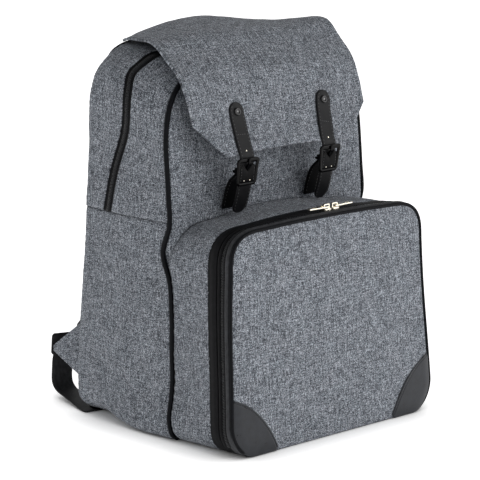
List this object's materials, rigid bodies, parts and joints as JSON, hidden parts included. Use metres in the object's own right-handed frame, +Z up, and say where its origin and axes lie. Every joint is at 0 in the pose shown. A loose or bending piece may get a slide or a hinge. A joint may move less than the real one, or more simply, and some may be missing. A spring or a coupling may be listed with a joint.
{
  "type": "picnic backpack",
  "caption": "Soft grey melange picnic backpack standing on its base, with a zipped front case, a flap held by buckled leather straps and padded shoulder straps.",
  "frame": {"origin": "on the floor under the flat base of the main body, midway between its sides", "axes": "+Z up, -Y out of the front case towards the viewer, +X to the right seen from the front"},
  "size_m": [0.307, 0.3294, 0.4345],
  "materials": {
    "cloth": "blue-grey melange plain weave",
    "black_cloth": "black ribbed tape and webbing",
    "piping": "black woven piping, slight sheen",
    "strap_leather": "black grained synthetic leather, stitched edges",
    "patch_leather": "dark charcoal synthetic leather, soft sheen",
    "black_metal": "black lacquered metal",
    "bright_metal": "pale bright plated metal",
    "black_plastic": "black moulded plastic"
  },
  "bodies": {
    "bag": {"back_panel": "cloth", "back_piping": "piping", "body_piping": "piping", "buckle_chape_left": "strap_leather", "buckle_chape_right": "strap_leather", "buckle_frame_left": "black_metal", "buckle_frame_right": "black_metal", "buckle_prong_left": "black_metal", "buckle_prong_right": "black_metal", "case_front_panel": "cloth", "case_gusset": "cloth", "case_hinge": "cloth", "case_piping": "piping", "case_zip_chain": "black_cloth", "case_zip_front_tape": "black_cloth", "case_zip_rear_tape": "black_cloth", "corner_patch_left": "patch_leather", "corner_patch_right": "patch_leather", "flap": "cloth", "flap_strap_left": "strap_leather", "flap_strap_right": "strap_leather", "front_panel": "cloth", "gusset_front": "cloth", "gusset_rear": "cloth", "ladder_lock_left": "black_plastic", "ladder_lock_right": "black_plastic", "lower_gusset": "cloth", "main_zip_chain": "black_cloth", "main_zip_front_tape": "black_cloth", "main_zip_rear_tape": "black_cloth", "shoulder_strap_left": "cloth", "shoulder_strap_right": "cloth", "strap_rivet_left": "black_metal", "strap_rivet_right": "black_metal", "strap_tab_left": "cloth", "strap_tab_right": "cloth", "strap_tail_left": "black_cloth", "strap_tail_right": "black_cloth", "strap_webbing_left": "black_cloth", "strap_webbing_right": "black_cloth", "zip_slider_left": "bright_metal", "zip_slider_right": "bright_metal"},
    "pull_left": {"zip_pull_left": "bright_metal"},
    "pull_right": {"zip_pull_right": "bright_metal"}
  },
  "joints": [
    {"name": "pull_left_swing", "type": "hinge", "parent": "bag", "child": "pull_left", "pos_m": [0.007, -0.09581, 0.24673], "axis": [0, 1, 0], "range_deg": [0, 90]},
    {"name": "pull_right_swing", "type": "hinge", "parent": "bag", "child": "pull_right", "pos_m": [0.019, -0.09581, 0.24673], "axis": [0, -1, 0], "range_deg": [0, 90]}
  ]
}
